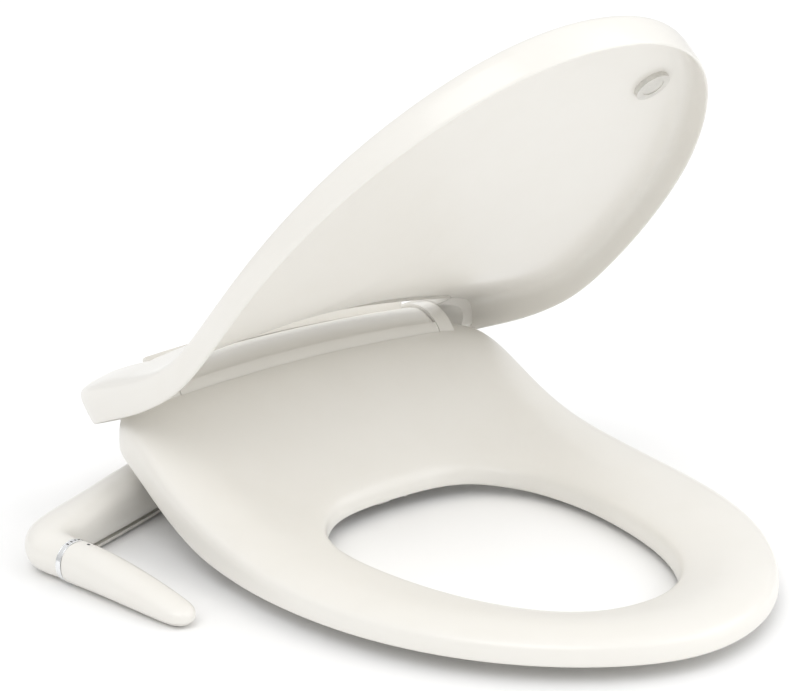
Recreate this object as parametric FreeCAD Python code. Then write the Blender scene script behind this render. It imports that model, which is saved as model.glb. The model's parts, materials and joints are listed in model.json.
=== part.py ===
"""Lever-operated bidet seat: seat, lid, housing, control arm with lever, and wands.

Frame: origin midway between the two mounting holes, on the mounting face. +Z is up,
-Y points to the front of the bowl and +X to the sitter's left. Millimetres.
The lid is modelled shut on the seat and then turned open about the shared hinge axis.
"""
import FreeCAD
import Part
import math
import os
from FreeCAD import Vector

os.makedirs("parts", exist_ok=True)

# ---- driving dimensions ----------------------------------------------------------
HOLE_SPREAD = 140.0         # between the mounting hole centres
SEAT_FRONT = 470.0          # mounting holes to the seat's front edge
SEAT_HALF = 184.5           # half the seat's greatest width
HINGE_Y, HINGE_Z = -15.0, 78.0
LID_OPEN = 47.3             # lid angle in the rest pose, degrees
WALL = 3.2                  # seat and lid wall
HOUSING_HALF = 125.0        # half the housing's length
HOUSING_R_MID, HOUSING_R_END = 38.5, 34.0
GAP = 0.7                   # running gap between moving covers
PIN_R = 5.0
INNER_DROP = 7.0            # the opening's wall reaches this far below the outer edge
OPENING_REAR, OPENING_FRONT, OPENING_HALF = -140.0, -398.0, 104.0

AXIS_X = Vector(1, 0, 0)
HINGE = Vector(0, HINGE_Y, HINGE_Z)

# ---- outlines (half, from the front tip to the middle of the rear edge) ----------
SEAT_OUTLINE = [(0, -SEAT_FRONT), (76, -445), (138, -382), (173.5, -303), (SEAT_HALF, -225),
                (183, -142), (181, -85), (178.5, -48), (171, -24), (138, -19), (70, -20), (0, -20)]
LID_OUTLINE = [(0, -475), (81, -451), (143.5, -386), (179.3, -305), (189.5, -226),
               (188.5, -142), (186.5, -80), (183.5, -30), (175, 4), (152, 16), (80, 18), (0, 18)]
OPENING_OUTLINE = [(0, OPENING_FRONT), (46, -384), (82, -335), (100, -272), (OPENING_HALF, -222),
                   (92, -176), (64, -149), (30, -141), (0, OPENING_REAR)]

# ---- heights along the length: (y, z) --------------------------------------------
SHOULDER_Z = [(-480, 27), (-400, 27), (-300, 27), (-228, 30), (-185, 35), (-151, 41),
              (-128, 48), (-105, 58), (-81, 71), (-56, 84.5), (-43, 89), (-28, 93)]
SEAT_BOTTOM_Z = [(-480, 12), (-300, 12), (-220, 12), (-178, 13.5), (-142, 18), (-115, 27),
                 (-92, 37), (-68, 50), (-47, 58), (-28, 63)]
LID_RIM_Z = [(-480, 27), (-381, 26), (-303, 24), (-230, 23), (-185, 24), (-142, 28),
             (-100, 40), (-72, 51), (-27, 73), (15, 92)]
LID_SKIRT = [(-480, 21.5), (-150, 22.5), (-100, 27), (-50, 31), (15, 30)]


def table(points, y):
    """Smooth monotone interpolation through (y, z) points."""
    if y <= points[0][0]:
        return points[0][1]
    if y >= points[-1][0]:
        return points[-1][1]
    slopes = [(b[1] - a[1]) / (b[0] - a[0]) for a, b in zip(points, points[1:])]
    knots = [slopes[0]] + [0.0 if p * q <= 0 else 2 * p * q / (p + q)
                           for p, q in zip(slopes, slopes[1:])] + [slopes[-1]]
    i = max(k for k in range(len(points) - 1) if points[k][0] <= y)
    (y0, z0), (y1, z1) = points[i], points[i + 1]
    h = y1 - y0
    t = (y - y0) / h
    return ((2 * t**3 - 3 * t**2 + 1) * z0 + (t**3 - 2 * t**2 + t) * h * knots[i]
            + (3 * t**2 - 2 * t**3) * z1 + (t**3 - t**2) * h * knots[i + 1])


def smooth(t):
    t = min(1.0, max(0.0, t))
    return t * t * (3 - 2 * t)


def stations(half, count):
    """Evenly spaced points round the closed symmetric outline, from the front tip."""
    left = [Vector(x, y, 0) for x, y in half]
    right = [Vector(-x, y, 0) for x, y in half[-2:0:-1]]
    curve = Part.BSplineCurve()
    curve.interpolate(Points=left + right, PeriodicFlag=True)
    return curve.toShape().discretize(Number=count + 1)[:-1]


# ---- surfaces and solids ---------------------------------------------------------
def net_surface(net, closed_across):
    """Cubic B-spline surface on a control net that closes round its first index."""
    count, across = len(net), len(net[0])
    surface = Part.BSplineSurface()
    if closed_across:
        v_knots, v_mults = list(range(across + 1)), [1] * (across + 1)
    else:
        v_knots = list(range(across - 2))
        v_mults = [4] + [1] * (across - 4) + [4]
    surface.buildFromPolesMultsKnots(net, [1] * (count + 1), v_mults, list(range(count + 1)),
                                     v_knots, True, closed_across, 3, 3)
    return surface


def net_solid(net, closed_across=False):
    solid = Part.Solid(Part.Shell([net_surface(net, closed_across).toShape()]))
    if solid.Volume < 0:
        solid = Part.Solid(Part.Shell([net_surface(net[::-1], closed_across).toShape()]))
    return solid


def tube_solid(sections):
    """Solid through closed sections, each a ring of control points, with flat ends."""
    net = [list(row) for row in zip(*sections)]
    side = net_surface(net, False).toShape()
    ends = []
    for edge in side.Edges:
        if edge.isClosed() and not edge.isSeam(side):
            ends.append(Part.Face(Part.Wire([edge])))
    shell = Part.Shell([side] + ends)
    shell.sewShape()
    solid = Part.Solid(shell)
    return solid if solid.Volume > 0 else tube_solid([row[::-1] for row in sections])


def box(x0, x1, y0, y1, z0, z1):
    return Part.makeBox(x1 - x0, y1 - y0, z1 - z0, Vector(x0, y0, z0))


def bar(r, start, end):
    """Cylinder from start to end."""
    axis = end - start
    return Part.makeCylinder(r, axis.Length, start, axis)


def ring(r_out, r_in, start, end):
    return bar(r_out, start, end).cut(bar(r_in, start, end))


def profile_x(points, x0, x1):
    """Prism along X from a closed (y, z) outline."""
    wire = Part.makePolygon([Vector(x0, y, z) for y, z in points + points[:1]])
    return Part.Face(wire).extrude(Vector(x1 - x0, 0, 0))


def mirror_x(shape):
    return shape.mirror(Vector(0, 0, 0), AXIS_X)


def both_sides(shape):
    return Part.Compound([shape, mirror_x(shape)])


def open_lid(shape):
    turned = shape.copy()
    turned.rotate(HINGE, AXIS_X, -LID_OPEN)
    return turned


def save(name, shape):
    if shape.ShapeType == "Compound" and len(shape.Solids) == 1:
        shape = shape.Solids[0]
    shape.exportStep("parts/%s.step" % name)
    print("%-24s solids %d  volume %.1f cm3  valid %s"
          % (name, len(shape.Solids), shape.Volume / 1000.0, shape.isValid()))


# ---- seat ------------------------------------------------------------------------
def rear_crown(x, y, height, half):
    """Extra height of the rear deck towards its middle."""
    return height * max(0.0, 1 - (x / half) ** 2) * smooth((y + 190) / 120)


def seat_top_z(x, y, inner_y, f):
    edge = 21 + 4 * smooth((inner_y + 220) / 80)
    full = table(SHOULDER_Z, y) + 4 * math.sin(math.pi * min(1.0, f)) + rear_crown(x, y, 12, 178)
    rise = 1 - (1 - min(1.0, (f + 0.02) / 0.8)) ** 2
    return edge + (full - edge) * rise


# (fraction from the opening to the outer edge, fraction from the bottom edge to the top)
SEAT_PROFILE = [(0.0, 0.0), (0.0, 0.35), (0.005, 0.7), (0.03, 0.93), (0.11, 1.0), (0.25, 1.0),
                (0.4, 1.0), (0.55, 1.0), (0.7, 1.0), (0.82, 1.0), (0.91, 0.98), (0.965, 0.9),
                (0.99, 0.72), (1.0, 0.45), (1.0, 0.15), (1.0, 0.0)]
SEAT_UNDERSIDE = [(f, 0.0) for f in (0.9, 0.7, 0.5, 0.3, 0.1)]


def seat_point(o, i, f, k, inset):
    """Point of the seat's section from i on the opening to o on the outline."""
    length = (o - i).Length
    p = i + (o - i) * ((inset + f * (length - 2 * inset)) / length)
    top = seat_top_z(p.x, p.y, i.y, (p - i).Length / length) - inset
    bottom = table(SEAT_BOTTOM_Z, p.y) - INNER_DROP * smooth(1 - f / 0.3)
    return Vector(p.x, p.y, bottom + k * (top - bottom))


def seat_net(profiles, count=64):
    """Control net round the seat; profiles are (rows, inset) pairs in section order."""
    pairs = zip(stations(SEAT_OUTLINE, count), stations(OPENING_OUTLINE, count))
    return [[seat_point(o, i, f, k, inset) for rows, inset in profiles for f, k in rows]
            for o, i in pairs]


def housing_barrel(extra, half):
    """Solid of revolution about the hinge axis, fuller in the middle than at its ends."""
    ends = HOUSING_R_END + extra
    mid = HOUSING_R_MID + extra
    arc = Part.Arc(Vector(-half, HINGE_Y, HINGE_Z + ends), Vector(0, HINGE_Y, HINGE_Z + mid),
                   Vector(half, HINGE_Y, HINGE_Z + ends)).toShape()
    a, b = Vector(-half, HINGE_Y, HINGE_Z), Vector(half, HINGE_Y, HINGE_Z)
    wire = Part.Wire([arc, Part.makeLine(Vector(half, HINGE_Y, HINGE_Z + ends), b),
                      Part.makeLine(b, a), Part.makeLine(a, Vector(-half, HINGE_Y, HINGE_Z + ends))])
    return Part.Face(wire).revolve(HINGE, AXIS_X, 360)


def make_seat():
    skin = net_solid(seat_net([(SEAT_PROFILE, 0.0), (SEAT_PROFILE[::-1], WALL)]), True)
    core = net_solid(seat_net([(SEAT_PROFILE + SEAT_UNDERSIDE, WALL / 2)]), True)
    bay_half = HOUSING_HALF + GAP
    bay = housing_barrel(GAP, bay_half).fuse(box(-bay_half, bay_half, HINGE_Y, 60, 0, 160))
    bay = bay.fuse(box(-bay_half, bay_half, -46, 60, 0, HINGE_Z))
    rear_wall = housing_barrel(GAP + WALL, bay_half + WALL).common(core)
    sides = both_sides(box(bay_half, bay_half + WALL, -60, 0, 0, 160)).common(core)
    shell = skin.cut(bay).fuse([rear_wall.cut(bay)] + sides.cut(bay).Solids)
    ear_in, ear_out = bay_half, bay_half + 14
    ear = bar(HOUSING_R_END, Vector(ear_in, HINGE_Y, HINGE_Z), Vector(ear_out, HINGE_Y, HINGE_Z))
    pin_hole = bar(PIN_R + 0.06, Vector(ear_in - 1, HINGE_Y, HINGE_Z),
                   Vector(ear_out + 1, HINGE_Y, HINGE_Z))
    recess = bar(13, Vector(ear_out + 0.2, HINGE_Y, HINGE_Z), Vector(ear_out + 21, HINGE_Y, HINGE_Z))
    shell = shell.cut(recess).cut(mirror_x(recess)).fuse([ear, mirror_x(ear)])
    shell = shell.cut(pin_hole).cut(mirror_x(pin_hole))
    save("seat_top_shell", shell)
    save("seat_bottom_plate", make_seat_bottom())
    spots = [(98, -368), (142, -190)]
    pads = [bar(9, Vector(x, y, 0), Vector(x, y, 12)).fuse(bar(4, Vector(x, y, 12), Vector(x, y, 18)))
            for x, y in spots]
    save("seat_bumpers", Part.Compound([p for pad in pads for p in (pad, mirror_x(pad))]))


def make_seat_bottom():
    """Flat closing ring under the front part of the seat, with sockets for the bumpers."""
    rows = [(0.06, 0.0), (0.94, 0.0)]
    def edge(f):
        return [seat_point(o, i, f, 0.0, WALL) for o, i in
                zip(stations(SEAT_OUTLINE, 48), stations(OPENING_OUTLINE, 48))]
    faces = []
    for f, _ in rows:
        curve = Part.BSplineCurve()
        curve.interpolate(Points=[Vector(p.x, p.y, 12.4) for p in edge(f)], PeriodicFlag=True)
        faces.append(Part.Face(Part.Wire([curve.toShape()])))
    plate = faces[1].extrude(Vector(0, 0, 2.6)).cut(faces[0].extrude(Vector(0, 0, 2.6)))
    plate = plate.cut(box(-200, 200, -172, 60, 0, 40))
    for x, y in [(98, -368), (142, -190)]:
        for side in (-1, 1):
            plate = plate.cut(bar(4.1, Vector(side * x, y, 0), Vector(side * x, y, 30)))
    return plate


# ---- lid (built shut, then opened) -----------------------------------------------
def lid_crown(x, y, half):
    fall = 1 - min(1.0, abs(x) / half) ** 2.2
    return (7 + 15 * smooth((y + 190) / 130)) * fall


def lid_top_z(x, y, half=183.0):
    return table(LID_RIM_Z, y) + table(LID_SKIRT, y) + lid_crown(x, y, half)


# (fraction from the middle to the outline, fraction of the skirt's height, inset)
LID_OUTSIDE = [(0.0, 1.0, 0), (0.12, 1.0, 0), (0.3, 1.0, 0), (0.5, 1.0, 0), (0.68, 1.0, 0), (0.82, 1.0, 0),
               (0.91, 1.0, 0), (0.965, 0.985, 0), (0.992, 0.9, 0), (1.0, 0.7, 0), (1.0, 0.4, 0),
               (1.0, 0.12, 0)]
LID_INSIDE = [(1.0, 0.0, 0.4), (1.0, 0.0, 2.2), (1.0, 0.08, 2.9), (1.0, 0.35, 3.2), (1.0, 0.62, 3.6),
              (0.985, 0.82, 4.4), (0.95, 0.865, 4), (0.89, 0.87, 3), (0.8, 0.87, 2), (0.68, 0.87, 0),
              (0.5, 0.87, 0), (0.3, 0.87, 0), (0.12, 0.87, 0), (0.0, 0.87, 0)]
LID_FLOOR = [(0.97, 0.1, 0), (0.8, 0.1, 0), (0.6, 0.1, 0), (0.4, 0.1, 0), (0.2, 0.1, 0), (0.0, 0.1, 0)]


def lid_net(rows, shrink=0.0, count=64):
    """Net over the lid from the middle of its top round the rim to the middle underneath."""
    middle = Vector(0, -215, 0)
    net = []
    for o in stations(LID_OUTLINE, count):
        reach = (o - middle).Length
        line = []
        for f, k, inset in rows:
            p = middle + (o - middle) * (f * (reach - inset - shrink) / reach)
            rim, top = table(LID_RIM_Z, p.y), lid_top_z(p.x, p.y) - shrink
            inner = 0.86 < k < 0.9 and not shrink
            line.append(Vector(p.x, p.y, top - WALL if inner else rim + k * (top - rim)))
        net.append(line)
    return net


def make_lid():
    skin = net_solid(lid_net(LID_OUTSIDE + LID_INSIDE))
    core = net_solid(lid_net(LID_OUTSIDE + LID_FLOOR, WALL / 2))
    bay_half = HOUSING_HALF + GAP + 16
    skin = skin.common(box(0, 300, -600, 100, -100, 300))
    lid = skin.cut(box(-1, bay_half, -56, 60, 30, 200))
    lip = skin.common(box(-1, bay_half, -59.5, -56.5, 30, 200))
    lip.translate(Vector(0, 0.2, -2.6))
    knuckle_in, knuckle_out = bay_half - 1, bay_half + 13
    seat = net_solid(seat_net([(SEAT_PROFILE + SEAT_UNDERSIDE, -0.9)]), True)
    side = box(bay_half - 1, bay_half + WALL - 1, -59, 30, 0, 200)
    block = profile_x([(HINGE_Y + 11, HINGE_Z - 2), (HINGE_Y - 11, HINGE_Z + 2), (-36, 90), (-46, 97),
                       (-40, 103), (HINGE_Y + 8, HINGE_Z + 24)], knuckle_in, bay_half + 44)
    inside = side.fuse(block).common(core).cut(seat)
    knuckle = bar(11, Vector(knuckle_in, HINGE_Y, HINGE_Z), Vector(knuckle_out, HINGE_Y, HINGE_Z))
    bore = bar(7, Vector(knuckle_in - 1, HINGE_Y, HINGE_Z), Vector(knuckle_out + 5, HINGE_Y, HINGE_Z))
    inside = inside.fuse(knuckle)
    lid = lid.fuse([lip, inside]).cut(bore)
    save("lid_shell", open_lid(lid.fuse(mirror_x(lid))))
    bushing = ring(7, PIN_R + 0.06, Vector(knuckle_in, HINGE_Y, HINGE_Z),
                   Vector(knuckle_out, HINGE_Y, HINGE_Z))
    save("lid_bushings", both_sides(open_lid(bushing)))
    top = lid_top_z(100, -391) - WALL
    pad = bar(13, Vector(100, -391, top - 3.4), Vector(100, -391, top + 0.9))
    pad = pad.cut(bar(8, Vector(100, -391, top - 5), Vector(100, -391, top - 2.6))).cut(skin)
    save("lid_bumpers", open_lid(both_sides(max(pad.Solids, key=lambda part: part.Volume))))


# ---- housing ---------------------------------------------------------------------
PLATE_T = 4.0
TRAY = (-121.0, 121.0, -46.0, 34.0, PLATE_T, 44.0)      # x0, x1, y0, y1, z0, z1
TRAY_WALL = 3.0
SLOT_W, SLOT_L = 8.0, 22.0
LIP_Y = -38.2               # the cover steps in behind this line
HOOD_Y, HOOD_RISE = 4.2, 6.5    # raised rib that closes the view under the open lid
INLET_X, INLET_Z = -104.0, 22.0
INLET_R, INLET_LEN = 10.3, 14.0


def slot(x, y, z0, z1, width, length):
    straight = length - width
    return box(x - straight / 2, x + straight / 2, y - width / 2, y + width / 2, z0, z1).fuse(
        [bar(width / 2, Vector(x + d, y, z0), Vector(x + d, y, z1)) for d in (-straight / 2, straight / 2)])


def make_base():
    plate = box(-112, 112, -28, 30, 0, PLATE_T)
    tray = box(*TRAY)
    x0, x1, y0, y1, z0, z1 = TRAY
    w = TRAY_WALL
    tray = tray.cut(box(x0 + w, x1 - w, y0 + w, y1 - w, z0 + w, z1 + 1))
    for side in (-1, 1):
        x = side * HOLE_SPREAD / 2
        plate = plate.cut(slot(x, 0, -1, PLATE_T + 1, SLOT_W, SLOT_L))
        well = slot(x, 0, z0 - 1, z0 + w + 1, 24, 40)
        wall = slot(x, 0, z0, 30, 30, 46).cut(slot(x, 0, z0 - 1, 31, 24, 40))
        tray = tray.cut(well).fuse(wall)
    tray = tray.cut(bar(8.05, Vector(INLET_X, 20, INLET_Z), Vector(INLET_X, 60, INLET_Z)))
    tray = tray.cut(arm_solid(0)).cut(box(-40, 40, -60, -40, 9, 60))
    tray = tray.cut(box(118, 130, 8, 24, 12, 28))
    for y, z in ARM_HOSES:
        tray = tray.cut(bar(HOSE_R + 0.5, *hose_ends(y, z)))
    save("mounting_plate", plate)
    save("base_tray", tray)


def housing_block(inset):
    """Barrel over the hinge axis run into a sloping back, above the tray."""
    half, y = HOUSING_HALF - inset, 38 - inset
    back = [(-y, TRAY[5] + 0.3), (y, TRAY[5] + 0.3), (y, 66 - inset), (y - 5, 75 - inset),
            (HINGE_Y + 24, HINGE_Z + 24 - inset), (HINGE_Y, HINGE_Z + 24 - inset), (-y, HINGE_Z)]
    solid = housing_barrel(-2 * inset, half).fuse(profile_x(back, -half, half))
    return solid.cut(box(-200, 200, -120, 120, -60, TRAY[5] + 0.3))


def make_housing_cover():
    """Cover with a lip above the seat's rear edge, bosses for the pins and a wand window."""
    half = HOUSING_HALF
    behind_lip = box(-half - 1, half + 1, LIP_Y, 8, HINGE_Z, HINGE_Z + 90)
    step = housing_barrel(6, half + 1).cut(housing_barrel(-2.6, half + 2)).common(behind_lip)
    cover = housing_block(0).cut(step).cut(housing_block(3))
    boss = bar(11, Vector(half - 34, HINGE_Y, HINGE_Z), Vector(half - 1, HINGE_Y, HINGE_Z))
    bore = bar(PIN_R, Vector(half - 36, HINGE_Y, HINGE_Z), Vector(half + 1, HINGE_Y, HINGE_Z))
    cover = cover.fuse([boss, mirror_x(boss)]).cut(bore).cut(mirror_x(bore))
    cover = cover.cut(box(-30, 30, -70, -18, 30, 66))
    hood = housing_barrel(HOOD_RISE, half - 0.4).cut(housing_barrel(-1.5, half + 1))
    cover = cover.fuse(hood.common(box(-half, half, HOOD_Y, HOOD_Y + 4.5, HINGE_Z + 15, HINGE_Z + 60)))
    save("housing_cover", cover)
    start, end = Vector(half - 30.5, HINGE_Y, HINGE_Z), Vector(half + 32, HINGE_Y, HINGE_Z)
    pin = bar(PIN_R, start, end)
    save("hinge_pin_left", pin)
    save("hinge_pin_right", mirror_x(pin))
    damper = bar(9.5, Vector(half - 56, HINGE_Y, HINGE_Z), Vector(half - 36, HINGE_Y, HINGE_Z))
    stub = bar(PIN_R, Vector(half - 36, HINGE_Y, HINGE_Z), start)
    save("hinge_dampers", both_sides(damper.fuse(stub)))


# ---- water works inside the housing ----------------------------------------------
WAND_X = 13.0
WAND_START = Vector(0, -50, 43)
WAND_DIR = Vector(0, -math.cos(math.radians(28)), -math.sin(math.radians(28)))
WAND_LEN, WAND_R, WAND_TRAVEL = 64.0, 5.5, 44.0
GUARD = (-122.0, 24.0)                              # hinge of the wand guard (y, z)


def along(distance, x=0.0, lift=0.0):
    """Point on a wand's line, lifted square to it."""
    up = Vector(0, WAND_DIR.z, -WAND_DIR.y)
    return WAND_START + WAND_DIR * distance + up * lift + Vector(x, 0, 0)


def make_wands():
    for name, x, jets in (("front", -WAND_X, 3), ("rear", WAND_X, 2)):
        end = WAND_LEN - 20
        tube = bar(WAND_R, along(-20, x), along(end - 8, x))
        tube = tube.fuse(bar(WAND_R + 1.7, along(-20, x), along(-16, x)))
        tube = tube.cut(bar(2.4, along(-21, x), along(end - 12, x)))
        tip = bar(WAND_R, along(end - 8, x), along(end, x)).fuse(Part.makeSphere(WAND_R, along(end, x)))
        for j in range(jets):
            p = along(end - 4.4 + 2.4 * j, x)
            tip = tip.cut(bar(0.6, p, p + Vector(0, 0, 9)))
        save("%s_wand_tube" % name, tube)
        save("%s_wand_tip" % name, tip)


def make_cradle():
    """Two guide sleeves for the wands on a foot, and the hinged guard in front of them."""
    pieces = []
    stop = WAND_TRAVEL - 15.7                       # the wand's collar ends its travel here
    for x in (-WAND_X, WAND_X):
        pieces.append(ring(WAND_R + 3.9, WAND_R + 1.9, along(-22, x), along(stop, x)))
        pieces.append(ring(WAND_R + 3.9, WAND_R + 0.3, along(stop, x), along(stop + 5, x)))
        pieces.append(ring(WAND_R + 3.9, 3.2, along(-25, x), along(-22, x)))
    web = box(-24, 24, -54, TRAY[2], PLATE_T, 11).fuse(box(-6, 6, -54, TRAY[2], 10, 40))
    for x in (-WAND_X, WAND_X):
        web = web.cut(bar(WAND_R + 3.0, along(-25, x), along(14, x)))
    save("nozzle_cradle", pieces[0].fuse(pieces[1:] + [web]))


def make_guard():
    y, z = GUARD
    cheek = [(TRAY[2], PLATE_T), (TRAY[2], 40), (-60, 42), (y - 4, z + 4), (y - 4, z - 4), (y + 8, z - 4),
             (-60, 28), (-54, PLATE_T)]
    arm = profile_x(cheek, 24, 27).cut(bar(1.5, Vector(20, y, z), Vector(30, y, z)))
    save("guard_bracket", both_sides(arm))
    save("guard_pin", bar(1.5, Vector(-27, y, z), Vector(27, y, z)))
    barrel = ring(3.0, 1.56, Vector(-23.3, y, z), Vector(23.3, y, z))
    face = box(-23.3, 23.3, y - 3.0, y - 1.6, z - 20, z)
    for x in (-WAND_X, WAND_X):
        face = face.cut(bar(WAND_R + 1.7, along(60, x), along(100, x)))
    save("nozzle_guard", barrel.fuse(face))


def make_waterworks():
    body = box(-40, -6, -12, 24, PLATE_T + TRAY_WALL, 36)
    body = body.cut(box(-36, -10, -8, 20, 11, 32)).fuse(bar(6, Vector(-23, 6, 36), Vector(-23, 6, 44)))
    save("manifold_body", body)
    middle = Vector(INLET_X, 0, INLET_Z)
    thread = ring(INLET_R, 6, middle + Vector(0, 37.2, 0), middle + Vector(0, 37.2 + INLET_LEN, 0))
    collar = ring(14, 6, middle + Vector(0, 34, 0), middle + Vector(0, 37.2, 0))
    neck = ring(8, 6, middle + Vector(0, 12, 0), middle + Vector(0, 34, 0))
    save("inlet_fitting", thread.fuse([collar, neck]))
    filt = ring(6, 3.4, middle + Vector(0, 40, 0), middle + Vector(0, 48, 0))
    save("inlet_filter", filt)
    save("pressure_regulator", bar(9, middle + Vector(0, -5, 0), middle + Vector(0, 12, 0)))
    for name, x in (("front", -WAND_X), ("rear", WAND_X)):
        rise = Vector(x, -14, 62.5)
        start = Vector(-23 if x < 0 else -16, 16, 36)
        knee = Vector(start.x, start.y, 62.5)
        tube = bar(2.6, start, knee).fuse([Part.makeSphere(2.6, knee), bar(2.6, knee, rise),
                                           Part.makeSphere(2.6, rise), bar(2.6, rise, along(-25, x))])
        save("%s_feed_tube" % name, tube)
    button = box(118.5, 124.4, 9, 23, 13, 27).fuse(box(103.6, 119, 12, 20, 16, 24))
    save("release_button", button)
    floor_z = PLATE_T + TRAY_WALL + 0.4
    save("release_latch", box(97, 103.6, 4, 28, floor_z, 30).cut(box(96, 100, 8, 24, 10, 31)))


# ---- control arm and lever -------------------------------------------------------
LEVER_YAW = 9.0                                     # degrees the lever leans inwards
LEVER_C = Vector(-251.2, -95.0, 15.8)               # middle of the metal ring
LEVER_DIR = Vector(math.sin(math.radians(LEVER_YAW)), -math.cos(math.radians(LEVER_YAW)), 0)
LEVER_SIDE = Vector(math.cos(math.radians(LEVER_YAW)), math.sin(math.radians(LEVER_YAW)), 0)
LEVER_R = 14.4
RING_T = 5.0
ARM_YAW = 22.0
HOSE_R = 3.0
ARM_HOSES = [(4, 26), (-8, 17)]                     # sideways place and height of each hose
UP = Vector(0, 0, 1)
# arm sections from the housing outwards: middle x, y, half width, bottom z, top z
ARM_RUN = [(-117, -4, 21, 9, 37), (-124, -7, 21.5, 6, 38), (-140, -13.5, 21.5, 3.5, 38.5), (-170, -25.5, 20.5, 3, 37),
           (-200, -37.5, 20, 3, 35), (-228, -48, 20, 3, 33.5)]
ARM_ELBOW = [(30, -246, -56, 20.5, 15.6), (58, -254, -68, 18.5, 14.9)]   # turn, x, y, half width, half height


def oval(centre, side, up, half_w, half_h, power=2.0, count=16):
    """Control ring of a rounded section."""
    points = []
    for i in range(count):
        c, t = math.cos(2 * math.pi * i / count), math.sin(2 * math.pi * i / count)
        u = math.copysign(abs(c) ** (2 / power), c) * half_w * 1.03
        v = math.copysign(abs(t) ** (2 / power), t) * half_h * 1.03
        points.append(centre + side * u + up * v)
    return points


def heading(degrees):
    """Square direction across a run that leaves the housing at the given yaw."""
    a = math.radians(degrees)
    return Vector(-math.sin(a), math.cos(a), 0)


def arm_solid(inset):
    """Arm from the housing, round the elbow to the metal ring."""
    rows = [oval(Vector(x, y, (z0 + z1) / 2), heading(ARM_YAW), UP, w - inset, (z1 - z0) / 2 - inset, 2.5)
            for x, y, w, z0, z1 in ARM_RUN]
    rows += [oval(Vector(x, y, LEVER_C.z + 1.6), heading(ARM_YAW + turn), UP, w - inset, h - inset, 2.4)
             for turn, x, y, w, h in ARM_ELBOW]
    for back, grow in ((17, 0.8), (8, 0.2), (0.0, 0.0)):
        c = LEVER_C - LEVER_DIR * (back + RING_T / 2 + 0.4)
        rows.append(oval(c, LEVER_SIDE * -1, UP, LEVER_R + grow - inset, LEVER_R + grow - inset))
    return tube_solid(rows)


def hose_ends(y, z):
    """Where a hose in the arm starts and ends."""
    return Vector(-115.5, -4 + y, z), Vector(-222, -45 + y, z - 5)


def make_arm():
    outer, hollow = arm_solid(0), arm_solid(2.4)
    end = LEVER_C - LEVER_DIR * (RING_T / 2 + 0.4)
    outline = outer.slice(UP, 6.5)[0]
    cover = Part.Face(outline).extrude(UP * 2.2)
    cover.translate(UP * (1.7 - outline.BoundBox.ZMin))
    cover = cover.common(box(-226, -123, -100, 40, 0, 10))
    upper = outer.cut(hollow).cut(cover).cut(box(-300, -100, -70, 40, -5, 4.0))
    upper = upper.fuse(ring(12.3, 9.4, end - LEVER_DIR * 12, end))
    save("arm_upper_shell", upper)
    save("arm_lower_cover", cover)
    save("valve_sleeve", ring(9.4, 7.3, end - LEVER_DIR * 17, end - LEVER_DIR * 0.6))
    for name, (y, z) in zip(("inner", "outer"), ARM_HOSES):
        save("arm_hose_%s" % name, bar(HOSE_R, *hose_ends(y, z)))


# lever sections: distance from the ring, half width, half height, drop of the middle
LEVER_RUN = [(0, 14.5, 14.5, 0), (6, 14.5, 14.5, 0), (20, 14.5, 14.2, 0), (42, 14.4, 12.9, 1.0),
             (66, 13.8, 11.2, 3.2), (86, 12.8, 9.4, 5.4), (101, 11.8, 7.8, 7.2), (109, 9.6, 6.4, 7.8),
             (113, 5.4, 4.4, 8.0), (114, 1.5, 1.5, 8.0)]


def make_lever():
    start = LEVER_C + LEVER_DIR * (RING_T / 2 + 0.35)
    save("trim_ring", ring(LEVER_R + 0.7, 7.3, LEVER_C - LEVER_DIR * RING_T / 2,
                           LEVER_C + LEVER_DIR * RING_T / 2))
    body = tube_solid([oval(start + LEVER_DIR * d - UP * drop, LEVER_SIDE, UP, w, h, 2.3)
                       for d, w, h, drop in LEVER_RUN])
    low = start.z - 9.0
    under = profile_x([(-320, low - 4.5), (-320, -40), (40, -40), (40, low + 1), (start.y, low)], -330, -180)
    gap = under.copy()
    gap.translate(UP * 0.2)
    socket = bar(7.35, start - LEVER_DIR, start + LEVER_DIR * 22)
    save("lever_upper", body.cut(gap).cut(socket))
    save("lever_lower", body.common(under).cut(socket))
    spool = bar(7.25, start - LEVER_DIR * 20, start + LEVER_DIR * 21.5)
    grooves = [-18, -13]
    for d in grooves:
        spool = spool.cut(ring(8, 5.6, start + LEVER_DIR * d, start + LEVER_DIR * (d + 3)))
    save("valve_spool", spool)
    seals = [ring(7.2, 5.6, start + LEVER_DIR * (d + 0.3), start + LEVER_DIR * (d + 2.7)) for d in grooves]
    save("spool_seals", Part.Compound(seals))


if __name__ == "__main__":
    make_seat()
    make_lid()
    make_base()
    make_housing_cover()
    make_wands()
    make_cradle()
    make_guard()
    make_waterworks()
    make_arm()
    make_lever()
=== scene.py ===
"""Looks of the bidet seat: finishes, small fittings, floor, lights and camera. All in metres."""
import json
import math
import bpy
import bmesh
from mathutils import Matrix, Vector


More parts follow.
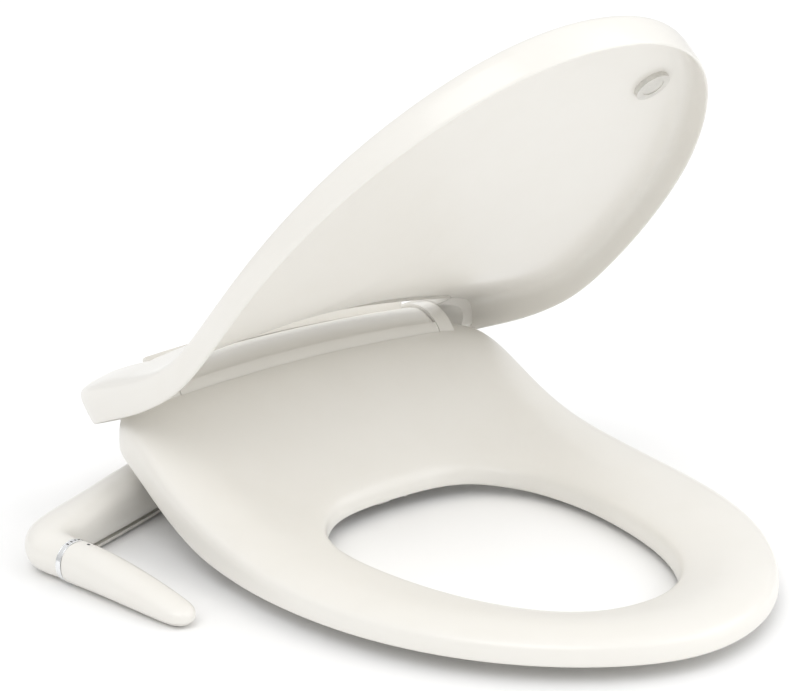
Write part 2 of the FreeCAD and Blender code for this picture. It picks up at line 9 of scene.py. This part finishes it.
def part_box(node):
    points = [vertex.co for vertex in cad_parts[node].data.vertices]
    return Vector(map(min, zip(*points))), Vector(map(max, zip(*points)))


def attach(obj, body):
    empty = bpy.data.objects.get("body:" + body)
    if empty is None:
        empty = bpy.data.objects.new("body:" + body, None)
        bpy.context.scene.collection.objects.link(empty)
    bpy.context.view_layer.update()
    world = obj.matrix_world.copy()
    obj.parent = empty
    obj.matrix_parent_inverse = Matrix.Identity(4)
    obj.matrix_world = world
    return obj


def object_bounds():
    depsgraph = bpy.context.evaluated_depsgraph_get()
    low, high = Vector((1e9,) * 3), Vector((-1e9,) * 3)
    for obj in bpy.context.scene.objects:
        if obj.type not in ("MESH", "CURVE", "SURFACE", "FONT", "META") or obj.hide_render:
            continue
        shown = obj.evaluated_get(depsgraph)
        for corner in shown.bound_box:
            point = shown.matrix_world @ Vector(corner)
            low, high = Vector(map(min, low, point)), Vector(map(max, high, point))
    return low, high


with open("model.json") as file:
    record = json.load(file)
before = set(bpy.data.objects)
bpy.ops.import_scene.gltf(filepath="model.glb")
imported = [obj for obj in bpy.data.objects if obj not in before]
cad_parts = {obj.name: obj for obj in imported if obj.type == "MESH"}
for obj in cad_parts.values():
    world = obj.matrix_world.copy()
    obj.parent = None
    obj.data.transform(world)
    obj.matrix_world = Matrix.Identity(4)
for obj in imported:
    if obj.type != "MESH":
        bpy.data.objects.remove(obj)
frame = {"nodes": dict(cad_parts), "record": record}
cad_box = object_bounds()
NODES = frame["nodes"]
UP = Vector((0, 0, 1))


HORIZON_LIGHT, ZENITH_LIGHT = 0.60, 0.93     # surround, by height
KEY_LIGHT, FILL_LIGHT = 0.75, 0.80


# ---- finishes --------------------------------------------------------------------
class Finish:
    """A material under construction: one shader, with patterns that feed its colour, roughness and bump."""

    def __init__(self, name, **values):
        self.material = bpy.data.materials.new(name)
        self.material.use_nodes = True
        self.tree = self.material.node_tree
        self.shader = self.tree.nodes["Principled BSDF"]
        for socket, value in values.items():
            self.shader.inputs[socket.replace("_", " ")].default_value = value
        self.place = self.tree.nodes.new("ShaderNodeTexCoord").outputs["Object"]
        self.normal = None

    def link(self, start, end):
        self.tree.links.new(start, end)

    def noise(self, scale, detail=3.0, stretch=(1, 1, 1), distortion=0.0):
        """Noise value over the object; scale is in features per metre."""
        mapping = self.tree.nodes.new("ShaderNodeMapping")
        mapping.inputs["Scale"].default_value = stretch
        self.link(self.place, mapping.inputs["Vector"])
        node = self.tree.nodes.new("ShaderNodeTexNoise")
        node.inputs["Scale"].default_value = scale
        node.inputs["Detail"].default_value = detail
        node.inputs["Distortion"].default_value = distortion
        self.link(mapping.outputs["Vector"], node.inputs["Vector"])
        return node.outputs["Fac"]

    def wave(self, scale, axis="X", distortion=0.0):
        node = self.tree.nodes.new("ShaderNodeTexWave")
        node.bands_direction = axis
        node.inputs["Scale"].default_value = scale
        node.inputs["Distortion"].default_value = distortion
        self.link(self.place, node.inputs["Vector"])
        return node.outputs["Fac"]

    def cells(self, scale, feature="DISTANCE_TO_EDGE"):
        node = self.tree.nodes.new("ShaderNodeTexVoronoi")
        node.feature = feature
        node.inputs["Scale"].default_value = scale
        self.link(self.place, node.inputs["Vector"])
        return node.outputs["Distance"]

    def worn_edges(self, low=0.505, high=0.56):
        """1 on sharp outer edges, 0 elsewhere."""
        geometry = self.tree.nodes.new("ShaderNodeNewGeometry")
        return self.spread(geometry.outputs["Pointiness"], low, high, 0.0, 1.0)

    def spread(self, value, low, high, out_low, out_high):
        node = self.tree.nodes.new("ShaderNodeMapRange")
        limits = {"From Min": low, "From Max": high, "To Min": out_low, "To Max": out_high}
        for name, number in limits.items():
            node.inputs[name].default_value = number
        self.link(value, node.inputs["Value"])
        return node.outputs["Result"]

    def colour(self, value, dark, light, low=0.3, high=0.7):
        """Colour runs from dark to light with a pattern's value."""
        ramp = self.tree.nodes.new("ShaderNodeValToRGB")
        for stop, place, tint in ((0, low, dark), (1, high, light)):
            ramp.color_ramp.elements[stop].position = place
            ramp.color_ramp.elements[stop].color = (*tint, 1)
        self.link(value, ramp.inputs["Fac"])
        self.base = ramp.outputs["Color"]
        self.link(self.base, self.shader.inputs["Base Color"])
        return self

    def tint(self, mask, colour):
        """Lays a colour over the base where the mask is 1."""
        mix = self.tree.nodes.new("ShaderNodeMix")
        mix.data_type = "RGBA"
        self.link(mask, mix.inputs["Factor"])
        self.link(self.base, mix.inputs["A"])
        mix.inputs["B"].default_value = (*colour, 1)
        self.base = mix.outputs["Result"]
        self.link(self.base, self.shader.inputs["Base Color"])
        return self

    def rough(self, value, smooth, dull, low=0.3, high=0.7):
        self.link(self.spread(value, low, high, smooth, dull), self.shader.inputs["Roughness"])
        return self

    def bump(self, value, height, strength=1.0):
        """Adds a relief; height is its depth in metres."""
        node = self.tree.nodes.new("ShaderNodeBump")
        node.inputs["Strength"].default_value = strength
        node.inputs["Distance"].default_value = height
        self.link(value, node.inputs["Height"])
        if self.normal:
            self.link(self.normal, node.inputs["Normal"])
        self.normal = node.outputs["Normal"]
        self.link(self.normal, self.shader.inputs["Normal"])
        return self


def moulded_gloss():
    """Warm white glossy moulding: faint flow marks, a little haze and a slow ripple."""
    f = Finish("shell_gloss", Coat_Weight=0.25, Coat_Roughness=0.12, IOR=1.5)
    f.colour(f.noise(5.0, 1.0), (0.822, 0.802, 0.755), (0.836, 0.817, 0.772), 0.2, 0.8)
    f.tint(f.spread(f.noise(34.0, 4.0), 0.45, 0.85, 0.0, 0.4), (0.805, 0.780, 0.725))
    f.rough(f.noise(16.0, 4.0), 0.285, 0.33)
    f.bump(f.noise(60.0, 2.0), 0.00003)
    return f.material


def satin_plastic():
    """Satin moulding of the housing, the arm and the base: flow lines, haze and ripple."""
    f = Finish("base_plastic", IOR=1.5)
    f.colour(f.noise(9.0, 1.0, stretch=(1, 1, 3)), (0.812, 0.792, 0.744), (0.828, 0.809, 0.763), 0.2, 0.8)
    f.tint(f.spread(f.noise(40.0, 4.0), 0.45, 0.85, 0.0, 0.4), (0.79, 0.765, 0.71))
    f.rough(f.noise(24.0, 4.0), 0.30, 0.38)
    f.bump(f.noise(80.0, 3.0), 0.00003)
    return f.material


def rubber(name, tone, sheen=0.2):
    """Matt elastomer with a fine pebble and dusty patches."""
    f = Finish(name, Sheen_Weight=sheen, Sheen_Roughness=0.5, Specular_IOR_Level=0.35)
    f.colour(f.noise(90.0, 5.0), [0.9 * t for t in tone], tone)
    f.tint(f.spread(f.noise(420.0, 3.0), 0.55, 0.75, 0.0, 0.25), [min(1, t * 1.25 + 0.02) for t in tone])
    f.rough(f.noise(300.0, 4.0), 0.55, 0.75)
    f.bump(f.cells(2600.0, "F1"), 0.00006).bump(f.noise(700.0, 3.0), 0.00005)
    return f.material


def metal(name, tone, smooth, dull, brush=(1, 1, 1), scratch=0.00001):
    """Metal with brush lines along one axis, smudges and a bright wear on its edges."""
    f = Finish(name, Metallic=1.0, Anisotropic=0.2)
    f.colour(f.noise(70.0, 4.0), [0.86 * t for t in tone], tone)
    f.tint(f.worn_edges(), [min(1.0, t * 1.12) for t in tone])
    f.rough(f.noise(120.0, 5.0), smooth, dull)
    f.bump(f.noise(1500.0, 2.0, stretch=brush), scratch)
    return f.material


def clear_hose():
    """Milky hose with a woven braid seen through its wall."""
    f = Finish("hose_clear", Transmission_Weight=0.25, IOR=1.42, Coat_Weight=0.4)
    f.colour(f.wave(900.0, "DIAGONAL"), (0.55, 0.56, 0.55), (0.80, 0.80, 0.78), 0.35, 0.65)
    f.tint(f.spread(f.noise(200.0, 3.0), 0.5, 0.8, 0.0, 0.3), (0.86, 0.85, 0.80))
    f.rough(f.noise(180.0, 3.0), 0.285, 0.38)
    f.bump(f.wave(900.0, "DIAGONAL"), 0.00008)
    return f.material


def mesh_screen():
    """Woven metal strainer cloth."""
    f = Finish("filter_mesh", Metallic=0.9)
    f.colour(f.cells(1900.0), (0.10, 0.10, 0.10), (0.62, 0.63, 0.62), 0.02, 0.18)
    f.tint(f.spread(f.noise(300.0, 3.0), 0.55, 0.8, 0.0, 0.4), (0.48, 0.42, 0.33))
    f.rough(f.noise(500.0, 3.0), 0.3, 0.5)
    f.bump(f.cells(1900.0), 0.00012)
    return f.material


def valve_resin():
    """Pale engineering resin of the valve and manifold, with glass-fibre flecks."""
    f = Finish("valve_plastic", IOR=1.48)
    f.colour(f.noise(30.0, 5.0, distortion=0.5), (0.60, 0.62, 0.62), (0.70, 0.71, 0.70))
    f.tint(f.spread(f.noise(2400.0, 2.0, stretch=(1, 5, 1)), 0.60, 0.70, 0.0, 0.35), (0.48, 0.49, 0.50))
    f.rough(f.noise(90.0, 4.0), 0.36, 0.50)
    f.bump(f.noise(1300.0, 3.0), 0.00004)
    return f.material


def wand_white():
    """Cool white polished wand."""
    f = Finish("wand_plastic", Coat_Weight=0.4, Coat_Roughness=0.08, IOR=1.5)
    f.colour(f.noise(60.0, 3.0), (0.80, 0.81, 0.80), (0.86, 0.86, 0.84))
    f.tint(f.spread(f.noise(1500.0, 2.0), 0.66, 0.74, 0.0, 0.15), (0.70, 0.70, 0.68))
    f.rough(f.noise(220.0, 4.0), 0.14, 0.22)
    f.bump(f.noise(600.0, 2.0), 0.00003)
    return f.material


def enamel():
    """Dark filling of the index marks."""
    f = Finish("mark_enamel", Coat_Weight=0.2)
    f.colour(f.noise(900.0, 3.0), (0.035, 0.035, 0.037), (0.07, 0.07, 0.07))
    f.rough(f.noise(1200.0, 3.0), 0.35, 0.55)
    f.bump(f.noise(2500.0, 2.0), 0.00003)
    return f.material


FINISHES = {
    "shell_gloss": moulded_gloss(),
    "base_plastic": satin_plastic(),
    "pad_rubber": rubber("pad_rubber", (0.74, 0.725, 0.68)),
    "seal_rubber": rubber("seal_rubber", (0.045, 0.045, 0.048)),
    "bright_ring": metal("bright_ring", (0.78, 0.79, 0.80), 0.07, 0.16, (1, 12, 1)),
    "pin_steel": metal("pin_steel", (0.62, 0.62, 0.61), 0.285, 0.36, (14, 1, 1), 0.00003),
    "valve_plastic": valve_resin(),
    "hose_clear": clear_hose(),
    "inlet_brass": metal("inlet_brass", (0.74, 0.55, 0.26), 0.285, 0.40, (1, 1, 9), 0.00003),
    "filter_mesh": mesh_screen(),
    "wand_plastic": wand_white(),
    "mark_enamel": enamel(),
}


def finish_nodes():
    """Gives every CAD node the finish of its slot."""
    for part in frame["record"]["subparts"]:
        obj = NODES[part["node"]]
        obj.data.materials.clear()
        obj.data.materials.append(FINISHES[part["material_slot"]])


# ---- mesh helpers ----------------------------------------------------------------
def make_piece(name, mesh, slot, body, smooth=True):
    """Turns a bmesh into a piece of the object that rides on a CAD body."""
    data = bpy.data.meshes.new(name)
    bmesh.ops.recalc_face_normals(mesh, faces=mesh.faces)
    mesh.to_mesh(data)
    mesh.free()
    piece = bpy.data.objects.new(name, data)
    bpy.context.collection.objects.link(piece)
    data.materials.append(FINISHES[slot])
    for face in data.polygons:
        face.use_smooth = smooth
    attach(piece, body)
    return piece


def skin_turned(mesh, rows, turns):
    """Faces between rows of vertices round an axis; a row of one vertex is a point on the axis."""
    for low, high in zip(rows, rows[1:]):
        for i in range(turns):
            j = i + 1
            corners = [low[i % len(low)], low[j % len(low)], high[j % len(high)], high[i % len(high)]]
            mesh.faces.new(list(dict.fromkeys(corners)))


def skin_strip(mesh, rows):
    """Closed skin over rows of vertices that each go once round a bar."""
    around = len(rows[0])
    for a, b in zip(rows, rows[1:]):
        for i in range(around):
            mesh.faces.new((a[i], a[(i + 1) % around], b[(i + 1) % around], b[i]))
    mesh.faces.new(rows[0])
    mesh.faces.new(list(reversed(rows[-1])))


def lathe(profile, turns=64):
    """Mesh turned about +Z from (radius, height) points."""
    mesh = bmesh.new()
    rows = []
    for radius, height in profile:
        if radius == 0:
            rows.append([mesh.verts.new((0, 0, height))])
            continue
        angles = [2 * math.pi * i / turns for i in range(turns)]
        rows.append([mesh.verts.new((radius * math.cos(a), radius * math.sin(a), height)) for a in angles])
    skin_turned(mesh, rows, turns)
    return mesh


def aim(mesh, point, normal, spin=0.0):
    """Moves a mesh made about +Z to a point, facing along the normal."""
    turn = UP.rotation_difference(Vector(normal).normalized()).to_matrix().to_4x4()
    mesh.transform(Matrix.Translation(point) @ turn @ Matrix.Rotation(spin, 4, "Z"))
    return mesh


def surface_hit(node, start, direction):
    """Where a ray first meets a CAD node: (point, normal)."""
    hit, point, normal, _ = NODES[node].ray_cast(Vector(start), Vector(direction))
    if not hit:
        raise RuntimeError("no surface of %s on that ray" % node)
    return point, normal


def middle(node):
    low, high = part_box(node)
    return (Vector(low) + Vector(high)) / 2


# ---- small fittings --------------------------------------------------------------
def screw_head(name, point, normal, radius, body, spin=0.3):
    """Pan-head screw with a cross recess; its rim sits in the surface."""
    rings, turns = 14, 48
    mesh = bmesh.new()
    rows = [[mesh.verts.new((0, 0, height_of_screw(0, 0, radius)))]]
    for k in range(1, rings + 1):
        r = radius * k / rings
        row = []
        for i in range(turns):
            x, y = r * math.cos(2 * math.pi * i / turns), r * math.sin(2 * math.pi * i / turns)
            row.append(mesh.verts.new((x, y, height_of_screw(x, y, radius))))
        rows.append(row)
    rows.append([mesh.verts.new((v.co.x, v.co.y, -0.2 * radius)) for v in rows[-1]])
    rows.append([mesh.verts.new((0, 0, -0.2 * radius))])
    skin_turned(mesh, rows, turns)
    return make_piece(name, aim(mesh, point, normal, spin), "pin_steel", body)


def height_of_screw(x, y, radius):
    """Height of a pan head over its seat, with the cross pressed into its middle."""
    reach = min(1.0, math.hypot(x, y) / radius)
    dome = 0.42 * radius * (1 - reach ** 5)
    narrow, wide = min(abs(x), abs(y)), max(abs(x), abs(y))
    in_cross = narrow < 0.13 * radius and wide < 0.55 * radius
    return dome - (0.34 * radius if in_cross else 0.0)


def screws():
    """Screws that hold the undersides on, each placed on the surface above it."""
    low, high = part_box("seat_bottom_plate")
    centre_y = (low[1] + high[1]) / 2
    for i in range(10):
        a = math.radians(18 + 36 * i)
        for reach in (0.74, 0.80, 0.86, 0.92):
            x = high[0] * reach * math.cos(a)
            y = centre_y + (high[1] - low[1]) / 2 * reach * math.sin(a)
            hit, point, normal, _ = NODES["seat_bottom_plate"].ray_cast(Vector((x, y, low[2] - 0.01)), UP)
            if hit and normal.z < -0.9:
                screw_head("seat_screw_%d" % i, point, -UP, 0.0034, "seat", 0.4 * i)
                break
    low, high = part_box("arm_lower_cover")
    for i, share in enumerate((0.2, 0.75)):
        x = low[0] + share * (high[0] - low[0])
        y = low[1] + (0.25 + 0.5 * share) * (high[1] - low[1])
        hit, point, normal, _ = NODES["arm_lower_cover"].ray_cast(Vector((x, y, low[2] - 0.01)), UP)
        if hit:
            screw_head("arm_screw_%d" % i, point - UP * 0.0003, -UP, 0.0028, "housing", 0.7 * i)


LEVER_YAW = math.radians(9)         # the lever leans inwards by this much
LEVER_AXIS = Vector((math.sin(LEVER_YAW), -math.cos(LEVER_YAW), 0))


def ring_frame():
    """Middle and outer radius of the bright ring, from its box."""
    low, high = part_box("trim_ring")
    return middle("trim_ring"), (high[2] - low[2]) / 2


def curved_mark(mesh, centre, radius, angle, spread, along, width, height):
    """Adds a raised mark that follows a drum about the lever's axis; angle 0 is the top."""
    side = LEVER_AXIS.cross(UP)
    steps = 6
    rows = []
    for k in range(steps + 1):
        a = angle + spread * (k / steps - 0.5)
        out = UP * math.cos(a) + side * math.sin(a)
        row = []
        for lift, shift in ((-0.3, -0.5), (1.0, -0.42), (1.0, 0.42), (-0.3, 0.5)):
            place = centre + out * (radius + lift * height)
            row.append(mesh.verts.new(place + LEVER_AXIS * (along + shift * width)))
        rows.append(row)
    skin_strip(mesh, rows)


def index_marks():
    """Generic position marks on the bright ring: bars that grow to each side of a middle dot."""
    centre, radius = ring_frame()
    mesh = bmesh.new()
    for i in (-3, -2, -1, 1, 2, 3):
        curved_mark(mesh, centre, radius, math.radians(-18 + 13.0 * i), math.radians(3.2), 0.0,
                    0.0012 + 0.0005 * abs(i), 0.00016)
    curved_mark(mesh, centre, radius, math.radians(-18), math.radians(6.0), 0.0, 0.0014, 0.00016)
    marks = make_piece("ring_index_marks", mesh, "seal_rubber", "housing", smooth=False)
    marks.data.materials[0] = FINISHES["mark_enamel"]
    for edge in (-1, 1):
        bead = lathe([(radius - 0.0004, -0.0004), (radius + 0.0001, -0.0003), (radius + 0.0002, 0.0),
                      (radius + 0.0001, 0.0003), (radius - 0.0004, 0.0004), (radius - 0.0004, -0.0004)], 96)
        aim(bead, centre + LEVER_AXIS * edge * 0.0021, LEVER_AXIS)
        make_piece("ring_edge_bead_%s" % ("outer" if edge > 0 else "inner"), bead, "bright_ring", "housing")


def lever_dot():
    """Small domed pointer on the lever, just past the ring."""
    centre, radius = ring_frame()
    lean = math.radians(-14)
    out = UP * math.cos(lean) + LEVER_AXIS.cross(UP) * math.sin(lean)
    start = centre + LEVER_AXIS * 0.0115 + out * (radius + 0.02)
    point, normal = surface_hit("lever_upper", start, -out)
    r = 0.0013
    dot = lathe([(0, 0.00035), (0.5 * r, 0.0003), (0.85 * r, 0.00018), (r, -0.0001), (0, -0.0002)], 32)
    make_piece("lever_pointer_dot", aim(dot, point, normal), "seal_rubber", "lever")


def inlet_thread():
    """Helical ridge on the water inlet and its sealing washer."""
    low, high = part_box("inlet_fitting")
    x, z = (low[0] + high[0]) / 2, (low[2] + high[2]) / 2
    radius, pitch, depth = 0.0103, 0.0018, 0.0007
    start_y, end_y = high[1] - 0.0125, high[1] - 0.0012
    per_turn = 48
    count = int((end_y - start_y) / pitch * per_turn)
    mesh = bmesh.new()
    rows = []
    for k in range(count + 1):
        a = 2 * math.pi * k / per_turn
        y = start_y + pitch * k / per_turn
        fade = min(1.0, k / 20, (count - k) / 20)
        row = []
        for shift, lift in ((-0.42, -0.15), (-0.06, fade), (0.06, fade), (0.42, -0.15)):
            r = radius + depth * lift
            row.append(mesh.verts.new((x + r * math.cos(a), y + shift * pitch, z + r * math.sin(a))))
        rows.append(row)
    skin_strip(mesh, rows)
    make_piece("inlet_thread", mesh, "inlet_brass", "housing")
    washer = lathe([(0.0100, 0), (0.0134, 0), (0.0137, 0.0004), (0.0134, 0.0010), (0.0100, 0.0010),
                    (0.0100, 0)], 72)
    aim(washer, Vector((x, high[1] - 0.01395, z)), (0, 1, 0))
    make_piece("inlet_washer", washer, "seal_rubber", "housing")


def button_ribs():
    """Grip ribs on the release button's outer face."""
    low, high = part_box("release_button")
    face_x = high[0]
    for i in range(4):
        y = low[1] + (high[1] - low[1]) * (0.2 + 0.2 * i)
        mesh = bmesh.new()
        half = 0.0042
        z0 = (low[2] + high[2]) / 2
        rows = []
        for k in range(13):
            share = 2 * k / 12 - 1
            height = 0.0005 * math.sqrt(max(0.0, 1 - share ** 6)) + 0.00002
            z = z0 + half * share
            rows.append([mesh.verts.new((face_x + height * lift, y + 0.0006 * across, z))
                         for lift, across in ((-0.6, -1), (0.7, -0.75), (1, 0), (0.7, 0.75), (-0.6, 1))])
        skin_strip(mesh, rows)
        make_piece("button_rib_%d" % i, mesh, "base_plastic", "button")


# ---- stage -----------------------------------------------------------------------
def floor():
    """Plain pale floor under the object."""
    mesh = bmesh.new()
    bmesh.ops.create_grid(mesh, x_segments=8, y_segments=8, size=14.0)
    data = bpy.data.meshes.new("floor")
    mesh.to_mesh(data)
    mesh.free()
    plane = bpy.data.objects.new("floor", data)
    plane.location.z = cad_box[0][2] - 0.0002
    bpy.context.collection.objects.link(plane)
    f = Finish("floor_paint", Specular_IOR_Level=0.2)
    f.colour(f.noise(1.2, 3.0), (0.95, 0.95, 0.95), (0.965, 0.965, 0.965))
    f.rough(f.noise(4.0, 3.0), 0.55, 0.65)
    data.materials.append(f.material)


def sun(name, toward, strength, softness):
    """Distant soft light that comes from the given direction; softness is its spread in degrees."""
    lamp = bpy.data.lights.new(name, "SUN")
    lamp.energy = strength
    lamp.angle = math.radians(softness)
    obj = bpy.data.objects.new(name, lamp)
    obj.rotation_euler = Vector(toward).to_track_quat("Z", "Y").to_euler()
    bpy.context.collection.objects.link(obj)


def lights():
    """White surround, brighter overhead than at the horizon, with two soft distant lights."""
    world = bpy.data.worlds.new("surround")
    bpy.context.scene.world = world
    world.use_nodes = True
    tree = world.node_tree
    split = tree.nodes.new("ShaderNodeSeparateXYZ")
    ramp = tree.nodes.new("ShaderNodeValToRGB")
    tree.links.new(tree.nodes.new("ShaderNodeTexCoord").outputs["Generated"], split.inputs["Vector"])
    tree.links.new(split.outputs["Z"], ramp.inputs["Fac"])
    for stop, place, level in ((0, 0.0, HORIZON_LIGHT), (1, 0.8, ZENITH_LIGHT)):
        ramp.color_ramp.elements[stop].position = place
        ramp.color_ramp.elements[stop].color = (level, level, level, 1)
    tree.links.new(ramp.outputs["Color"], tree.nodes["Background"].inputs["Color"])
    sun("key", (-0.55, -0.35, 0.85), KEY_LIGHT, 40)
    sun("fill", (0.75, -0.7, 0.65), FILL_LIGHT, 60)
    view = bpy.context.scene.view_settings
    view.view_transform = "Standard"
    view.look = "None"


def camera():
    """Camera low on the left, aimed at the middle of the object."""
    azimuth, elevation, distance = math.radians(-39.57), math.radians(17.39), 1.51325
    target = Vector((-0.0005, -0.1427, 0.13333))
    toward = Vector((math.sin(azimuth) * math.cos(elevation), -math.cos(azimuth) * math.cos(elevation),
                     math.sin(elevation)))
    lens = bpy.data.cameras.new("camera")
    lens.sensor_fit, lens.sensor_width, lens.lens = "HORIZONTAL", 36.0, 93.56
    lens.clip_end = 60
    obj = bpy.data.objects.new("camera", lens)
    obj.location = target + toward * distance
    obj.rotation_euler = (-toward).to_track_quat("-Z", "Y").to_euler()
    bpy.context.collection.objects.link(obj)
    bpy.context.scene.camera = obj


finish_nodes()
screws()
index_marks()
lever_dot()
inlet_thread()
button_ribs()
floor()
lights()
camera()
